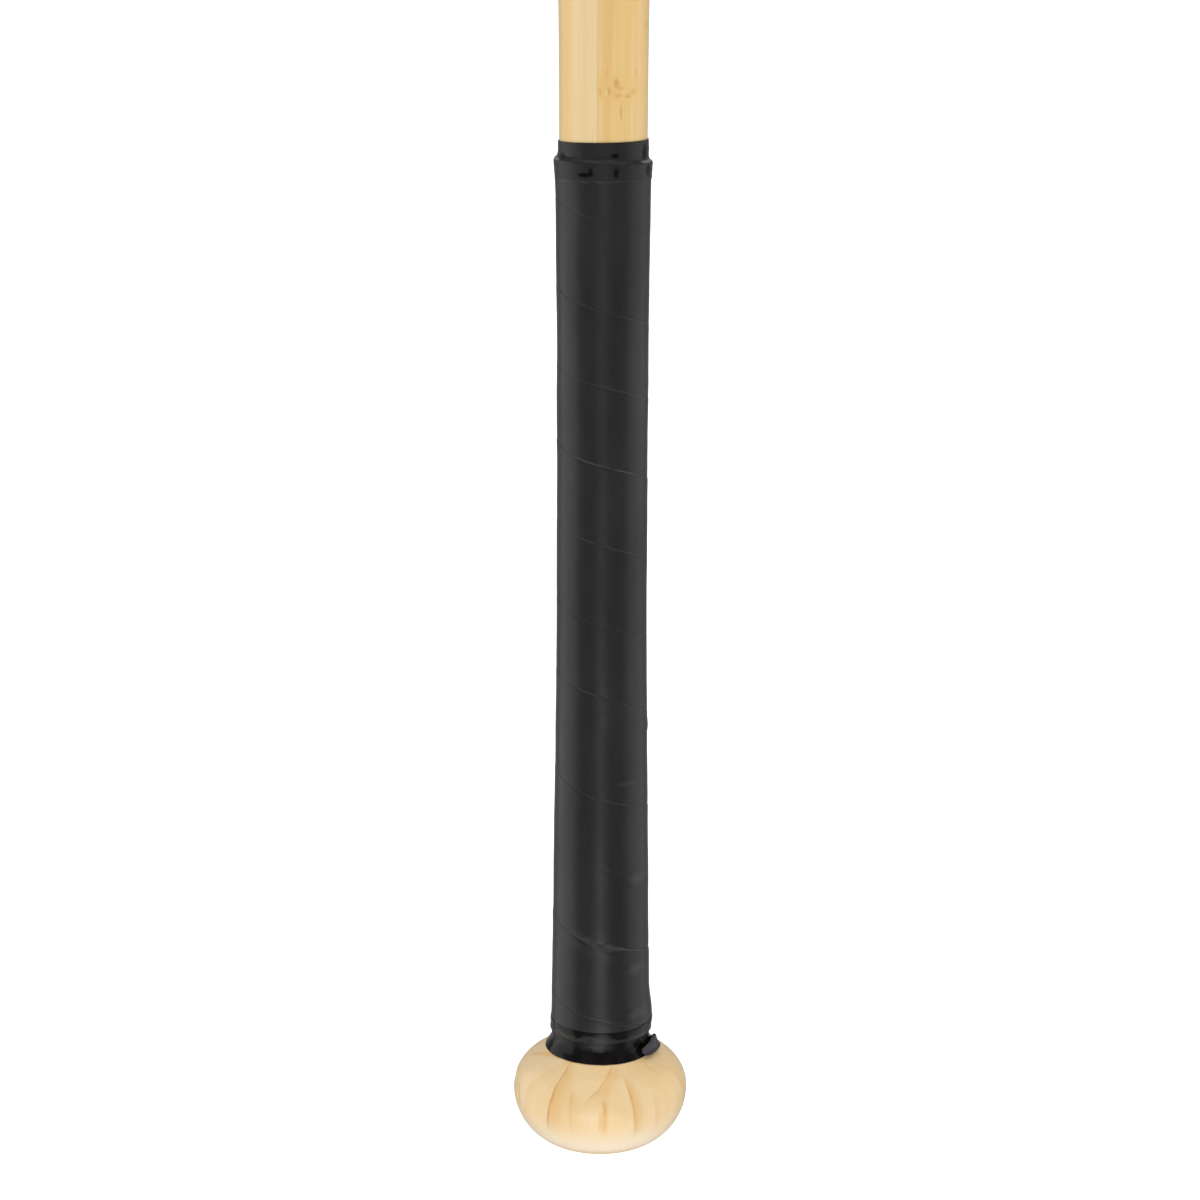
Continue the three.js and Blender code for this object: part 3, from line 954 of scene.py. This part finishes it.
def upper_tape_material():
    """Black vinyl tape dulled by handling, with painted shade at folds and painted highlights."""
    s = Shader("upper_tape")
    place = s.place()
    x, y, z = s.split(place)
    marks = s.noise(place, 300, 3, 0.55)
    fresh = s.mix(s.ramp(marks, 0.35, 0.7), VINYL_DARK, VINYL_LIGHT)
    color = s.mix(0.6, fresh, VINYL_WORN)
    roughness = s.ramp(marks, 0.3, 0.7, 0.35, 0.44)
    front_half = s.ramp(y, -6 * MM, -2 * MM, 1.0, 0.0)
    wobble = s.centred(s.noise(place, 500, 2, 0.6), 1.2)
    # painted shade: the folds darkened to near black, as if turned away from the light
    for spot in TAPE_FOLD_SHADES:
        mask = s.math("MULTIPLY", ellipse_mask(s, x, z, wobble, spot), front_half)
        color = s.mix(mask, color, FOLD_SHADE_BLACK)
        roughness = s.ramp(mask, 0.0, 1.0, roughness, 1.0)
    # painted glints where the step's shoulders catch the light
    for spot in TAPE_SHOULDER_GLINTS:
        color = s.mix(ellipse_mask(s, x, z, wobble, spot), color, GLINT_GREY)
    # painted highlight along the tape's lower edge
    patchy = s.ramp(s.noise(place, 160, 2, 0.5), 0.4, 0.6, 0.2, 0.9)
    rim = s.math("MULTIPLY", s.band(z, (287.9, 288.2), (288.4, 288.8)), patchy)
    color = s.mix(rim, color, RIM_HIGHLIGHT_GREY)
    s.set(Base_Color=color, Roughness=roughness, Specular_IOR_Level=0.42)
    vinyl_relief(s, place, marks)
    return s.material


def lower_tape_material():
    """Glossy black vinyl tape, duller at its waist. Its loose end is painted paler where it faces the
    light.
    """
    s = Shader("lower_tape")
    place = s.place()
    x, y, z = s.split(place)
    marks = s.noise(place, 300, 3, 0.55)
    color = s.mix(s.ramp(marks, 0.35, 0.7), VINYL_DARK, VINYL_LIGHT)
    # painted highlight: the loose end's outer part is lighter, as if lit from above
    from_axis = s.math("SQRT", s.math("ADD", s.math("MULTIPLY", x, x), s.math("MULTIPLY", y, y)))
    far_out = s.ramp(from_axis, 16.45 * MM, 17.0 * MM)
    lit_tail = s.math("MULTIPLY", far_out, s.ramp(z, 30.6 * MM, 31.6 * MM, 0.3, 1.0))
    color = s.mix(lit_tail, color, TAIL_LIT_GREY)
    waist = s.band(z, (32.0, 33.4), (35.0, 36.5))
    roughness = s.math("MULTIPLY_ADD", waist, 0.08, s.ramp(marks, 0.3, 0.7, 0.15, 0.24))
    s.set(Base_Color=color, Roughness=roughness, Specular_IOR_Level=0.30)
    vinyl_relief(s, place, marks)
    return s.material


# --- studio -------------------------------------------------------------------------------------

CAMERA_BACK = 808.4 * MM
CAMERA_HEIGHT = 368.1 * MM
CAMERA_SIDE = -0.52 * MM
CAMERA_PITCH = math.radians(13.97)
CAMERA_ROLL = math.radians(0.195)
CAMERA_LENS = 86.46
CAMERA_SENSOR = 36
FLOOR_SIZE = 60
FLOOR_DROP = 0.2 * MM
FLOOR_GLOW = 0.88
WORLD_LIGHT = 0.43
WORLD_REFLECTION = 0.12
SUN_STRENGTH = 1.7


def add_camera():
    camera = bpy.data.objects.new("camera", bpy.data.cameras.new("camera"))
    bpy.context.scene.collection.objects.link(camera)
    camera.data.lens = CAMERA_LENS
    camera.data.sensor_width = CAMERA_SENSOR
    look = Matrix.Rotation(math.pi / 2 - CAMERA_PITCH, 4, "X") @ Matrix.Rotation(CAMERA_ROLL, 4, "Z")
    camera.matrix_world = Matrix.Translation((CAMERA_SIDE, -CAMERA_BACK, CAMERA_HEIGHT)) @ look
    camera.data.clip_end = 200
    bpy.context.scene.camera = camera


def add_floor():
    """A pale floor that can be looked through from below."""
    bm = bmesh.new()
    bmesh.ops.create_grid(bm, x_segments=1, y_segments=1, size=FLOOR_SIZE / 2)
    mesh = mesh_from(bm, "floor")
    floor = bpy.data.objects.new("floor", mesh)
    floor.location.z = -FLOOR_DROP
    bpy.context.scene.collection.objects.link(floor)
    s = Shader("pale_floor")
    s.set(Base_Color=(0.45, 0.45, 0.45, 1), Roughness=0.9, Specular_IOR_Level=0.0)
    s.set(Emission_Color=(1, 1, 1, 1), Emission_Strength=FLOOR_GLOW)
    clear = s.node("BsdfTransparent").outputs[0]
    behind = s.node("NewGeometry").outputs["Backfacing"]
    mixed = s.node("MixShader", {0: behind, 1: s.surface.outputs[0], 2: clear}).outputs[0]
    s.feed(s.tree.nodes["Material Output"].inputs["Surface"], mixed)
    mesh.materials.append(s.material)
    floor.visible_glossy = False


def add_world():
    """White to the camera, and softer as a light."""
    world = bpy.data.worlds.new("studio")
    bpy.context.scene.world = world
    world.use_nodes = True
    nodes, links = world.node_tree.nodes, world.node_tree.links
    rays = nodes.new("ShaderNodeLightPath").outputs
    light = nodes.new("ShaderNodeMix")
    light.inputs[2].default_value = WORLD_LIGHT
    light.inputs[3].default_value = WORLD_REFLECTION
    links.new(rays["Is Glossy Ray"], light.inputs[0])
    strength = nodes.new("ShaderNodeMix")
    strength.inputs[3].default_value = 1.0
    links.new(rays["Is Camera Ray"], strength.inputs[0])
    links.new(light.outputs[0], strength.inputs[2])
    background = nodes["Background"]
    background.inputs["Color"].default_value = (1, 1, 1, 1)
    links.new(strength.outputs[0], background.inputs["Strength"])


def add_light(name, kind, azimuth, distance, height, power, size=None, **settings):
    light = bpy.data.objects.new(name, bpy.data.lights.new(name, kind))
    bpy.context.scene.collection.objects.link(light)
    light.location = on_circle(math.radians(azimuth), distance, height)
    target = Vector((0, 0, height if kind == "AREA" else 0))
    light.rotation_euler = (target - light.location).to_track_quat("-Z", "Y").to_euler()
    light.data.energy = power
    if size:
        light.data.shape = "RECTANGLE"
        light.data.size, light.data.size_y = size
    light.visible_camera = False
    for key, value in settings.items():
        setattr(light, key, value)
    return light


# Softboxes that only show as reflections, as (name, azimuth, distance, height, width, length,
# brightness). Each faces the bat, apart from three: top_panel faces down, and the two that shine on
# the grip and the lower tape from the floor face up.
SOFTBOXES = [
    ("left_panel", -98, 1.6, -0.35, 2.0, 2.4, 0.76),
    ("right_panel", 99, 1.6, -0.35, 2.0, 2.4, 0.56),
    ("front_panel", -1, 1.9, -0.60, 0.66, 1.8, 0.50),
    ("back_panel", 180, 2.0, 0.15, 3.0, 3.2, 0.20),
    ("top_panel", 0, 0.001, 2.2, 2.0, 2.0, 0.80),
    ("floor_shine", 0, 0.265, 0.001, 0.05, 0.47, 0.9),
    ("near_shine", -17, 0.064, 0.001, 0.058, 0.026, 1.0),
]
FACING_DOWN = (0, 0, 0)
FACING_UP = (math.pi, 0, 0)
FACING = {"top_panel": FACING_DOWN, "floor_shine": FACING_UP, "near_shine": FACING_UP}


def add_lights():
    sun = add_light("overhead", "SUN", 0, 0.6, 3.0, SUN_STRENGTH, visible_glossy=False)
    sun.data.angle = math.radians(100)
    for name, azimuth, distance, height, width, length, brightness in SOFTBOXES:
        power = brightness * math.pi * width * length
        size = (width, length)
        light = add_light(name, "AREA", azimuth, distance, height, power, size, visible_diffuse=False)
        light.rotation_euler = FACING.get(name, light.rotation_euler)


def set_tone():
    view = bpy.context.scene.view_settings
    view.view_transform = "Standard"
    view.look = "None"
    view.exposure = 0
    view.gamma = 1


# --- everything ---------------------------------------------------------------------------------

add_camera()
set_tone()
add_world()
add_floor()
add_lights()
build_strips(bamboo_material())
build_wrap(grip_material())
build_tapes(upper_tape_material(), lower_tape_material())
